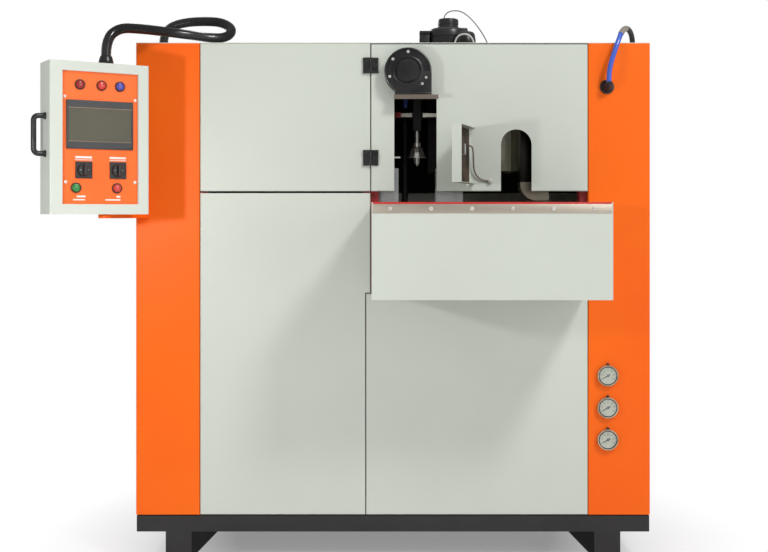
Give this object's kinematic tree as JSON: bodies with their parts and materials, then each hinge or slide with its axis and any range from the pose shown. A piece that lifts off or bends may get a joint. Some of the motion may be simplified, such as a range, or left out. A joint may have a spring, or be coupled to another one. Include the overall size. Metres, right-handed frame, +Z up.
{
  "type": "blow moulding machine",
  "caption": "Stretch blow moulding machine: sheet-metal cabinet on a welded base with hinged guard door, outlet flap, deep apron, swivelling operator pendant and gauges.",
  "frame": {"origin": "on the floor, midway between the four anchor holes in the foot plates", "axes": "+Z up, +X to the right of someone who faces the machine, the front faces -Y"},
  "size_m": [1.8814, 1.185, 1.8294],
  "materials": {
    "grey_paint": "light grey powder coat",
    "orange_paint": "orange powder coat",
    "black_paint": "black satin paint",
    "red_paint": "red frame paint",
    "stainless": "brushed",
    "chrome": "polished",
    "aluminium": "machined",
    "black_steel": "blackened",
    "black_plastic": "moulded",
    "orange_fascia": "orange film on sheet",
    "screen": "gloss",
    "red_button": "gloss",
    "dark_red_button": "gloss",
    "blue_button": "gloss",
    "green_button": "gloss",
    "blue_hose": "polyurethane tube",
    "tube_plastic": "soft tube",
    "tank_paint": "blue tank paint",
    "cable_steel": "braided",
    "zinc_plate": "galvanised"
  },
  "bodies": {
    "frame": {"base_frame": "black_paint", "leg_front_left": "black_paint", "leg_rear_left": "black_paint", "leg_front_right": "black_paint", "leg_rear_right": "black_paint", "front_frame": "red_paint", "rear_frame": "red_paint", "machine_deck": "black_steel", "column_left": "orange_paint", "column_right": "orange_paint", "side_panel_left": "grey_paint", "side_panel_right": "grey_paint", "rear_panel": "grey_paint", "roof_panel": "grey_paint", "upper_left_panel": "grey_paint", "guard_hinge_fixed_leaves": "black_plastic", "apron": "grey_paint", "apron_strip": "stainless", "pendant_arm": "orange_paint", "conduit": "black_plastic", "air_fitting": "black_plastic", "air_hose": "blue_hose", "roof_air_tubes": "tube_plastic", "gauge_cases": "chrome", "roof_fan": "black_paint", "mould_slide": "black_steel", "blow_guide": "black_steel", "oven": "grey_paint", "outlet_chute": "stainless", "air_receiver": "tank_paint", "electrical_plate": "zinc_plate"},
    "lower_left_door": {"lower_left_door": "grey_paint"},
    "lower_right_door": {"lower_right_door": "grey_paint"},
    "guard_door": {"guard_door": "grey_paint", "guard_hinge_moving_leaves": "black_plastic", "blower_housing": "black_plastic", "blower_shelf": "stainless", "bonding_cable": "cable_steel"},
    "blower_impeller": {"blower_impeller": "black_plastic"},
    "outlet_flap": {"outlet_flap": "grey_paint"},
    "flap_latch": {"flap_latch": "chrome"},
    "pendant": {"pendant_case": "grey_paint", "pendant_fascia": "orange_fascia", "touch_panel": "screen", "pendant_handle": "black_plastic", "conduit_gland": "black_plastic"},
    "button_left": {"button_left": "dark_red_button"},
    "button_middle": {"button_middle": "red_button"},
    "button_right": {"button_right": "blue_button"},
    "button_start": {"button_start": "green_button"},
    "button_stop": {"button_stop": "red_button"},
    "rotary_switch_left": {"rotary_switch_left": "black_plastic"},
    "rotary_switch_right": {"rotary_switch_right": "black_plastic"},
    "gauge_pointer_upper": {"gauge_pointer_upper": "black_plastic"},
    "gauge_pointer_middle": {"gauge_pointer_middle": "black_plastic"},
    "gauge_pointer_lower": {"gauge_pointer_lower": "black_plastic"},
    "mould_left": {"mould_left": "aluminium"},
    "mould_right": {"mould_right": "aluminium"},
    "blow_carriage": {"blow_carriage": "chrome"},
    "stretch_rod": {"stretch_rod": "chrome"}
  },
  "joints": [
    {"name": "guard_door_hinge", "type": "hinge", "parent": "frame", "child": "guard_door", "pos_m": [-0.0715, -0.3805, 1.448], "axis": [0, 0, 1], "range_deg": [-100, 0]},
    {"name": "lower_left_door_hinge", "type": "hinge", "parent": "frame", "child": "lower_left_door", "pos_m": [-0.613, -0.3705, 0.67], "axis": [0, 0, 1], "range_deg": [-100, 0]},
    {"name": "lower_right_door_hinge", "type": "hinge", "parent": "frame", "child": "lower_right_door", "pos_m": [0.619, -0.3705, 0.51], "axis": [0, 0, 1], "range_deg": [0, 100]},
    {"name": "outlet_flap_hinge", "type": "hinge", "parent": "guard_door", "child": "outlet_flap", "pos_m": [0.251, -0.3935, 1.305], "axis": [0, 0, 1], "range_deg": [-35, 107]},
    {"name": "flap_latch_turn", "type": "hinge", "parent": "outlet_flap", "child": "flap_latch", "pos_m": [0.1972, -0.56946, 1.305], "axis": [0.9563, -0.2924, 0], "range_deg": [0, 90]},
    {"name": "blower_impeller_spin", "type": "hinge", "parent": "guard_door", "child": "blower_impeller", "pos_m": [0.0478, -0.4, 1.574], "axis": [0, 1, 0], "continuous": true},
    {"name": "pendant_swivel", "type": "hinge", "parent": "frame", "child": "pendant", "pos_m": [-0.87, -0.58, 1.119], "axis": [0, 0, 1], "range_deg": [-50, 50]},
    {"name": "button_left_press", "type": "slide", "parent": "pendant", "child": "button_left", "axis": [-0.5299, 0.848, 0], "range_m": [0, 0.004], "stiffness_N_per_m": 400},
    {"name": "button_middle_press", "type": "slide", "parent": "pendant", "child": "button_middle", "axis": [-0.5299, 0.848, 0], "range_m": [0, 0.004], "stiffness_N_per_m": 400},
    {"name": "button_right_press", "type": "slide", "parent": "pendant", "child": "button_right", "axis": [-0.5299, 0.848, 0], "range_m": [0, 0.004], "stiffness_N_per_m": 400},
    {"name": "button_start_press", "type": "slide", "parent": "pendant", "child": "button_start", "axis": [-0.5299, 0.848, 0], "range_m": [0, 0.004], "stiffness_N_per_m": 400},
    {"name": "button_stop_press", "type": "slide", "parent": "pendant", "child": "button_stop", "axis": [-0.5299, 0.848, 0], "range_m": [0, 0.004], "stiffness_N_per_m": 400},
    {"name": "rotary_switch_left_turn", "type": "hinge", "parent": "pendant", "child": "rotary_switch_left", "pos_m": [-0.91145, -0.67312, 1.25], "axis": [-0.5299, 0.848, 0], "range_deg": [0, 90]},
    {"name": "rotary_switch_right_turn", "type": "hinge", "parent": "pendant", "child": "rotary_switch_right", "pos_m": [-0.82368, -0.61827, 1.25], "axis": [-0.5299, 0.848, 0], "range_deg": [0, 90]},
    {"name": "gauge_pointer_upper_turn", "type": "hinge", "parent": "frame", "child": "gauge_pointer_upper", "pos_m": [0.688, -0.386, 0.602], "axis": [0, 1, 0], "range_deg": [0, 240]},
    {"name": "gauge_pointer_middle_turn", "type": "hinge", "parent": "frame", "child": "gauge_pointer_middle", "pos_m": [0.688, -0.386, 0.4995], "axis": [0, 1, 0], "range_deg": [0, 240]},
    {"name": "gauge_pointer_lower_turn", "type": "hinge", "parent": "frame", "child": "gauge_pointer_lower", "pos_m": [0.688, -0.386, 0.397], "axis": [0, 1, 0], "range_deg": [0, 240]},
    {"name": "mould_left_slide", "type": "slide", "parent": "frame", "child": "mould_left", "axis": [1, 0, 0], "range_m": [0, 0.0618]},
    {"name": "mould_right_slide", "type": "slide", "parent": "frame", "child": "mould_right", "axis": [-1, 0, 0], "range_m": [0, 0.0618]},
    {"name": "blow_carriage_slide", "type": "slide", "parent": "frame", "child": "blow_carriage", "axis": [0, 0, -1], "range_m": [0, 0.035]},
    {"name": "stretch_rod_slide", "type": "slide", "parent": "blow_carriage", "child": "stretch_rod", "axis": [0, 0, -1], "range_m": [0, 0.111]}
  ],
  "couplings": [
    {"joint": "mould_right_slide", "follows": "mould_left_slide", "ratio": 1}
  ]
}
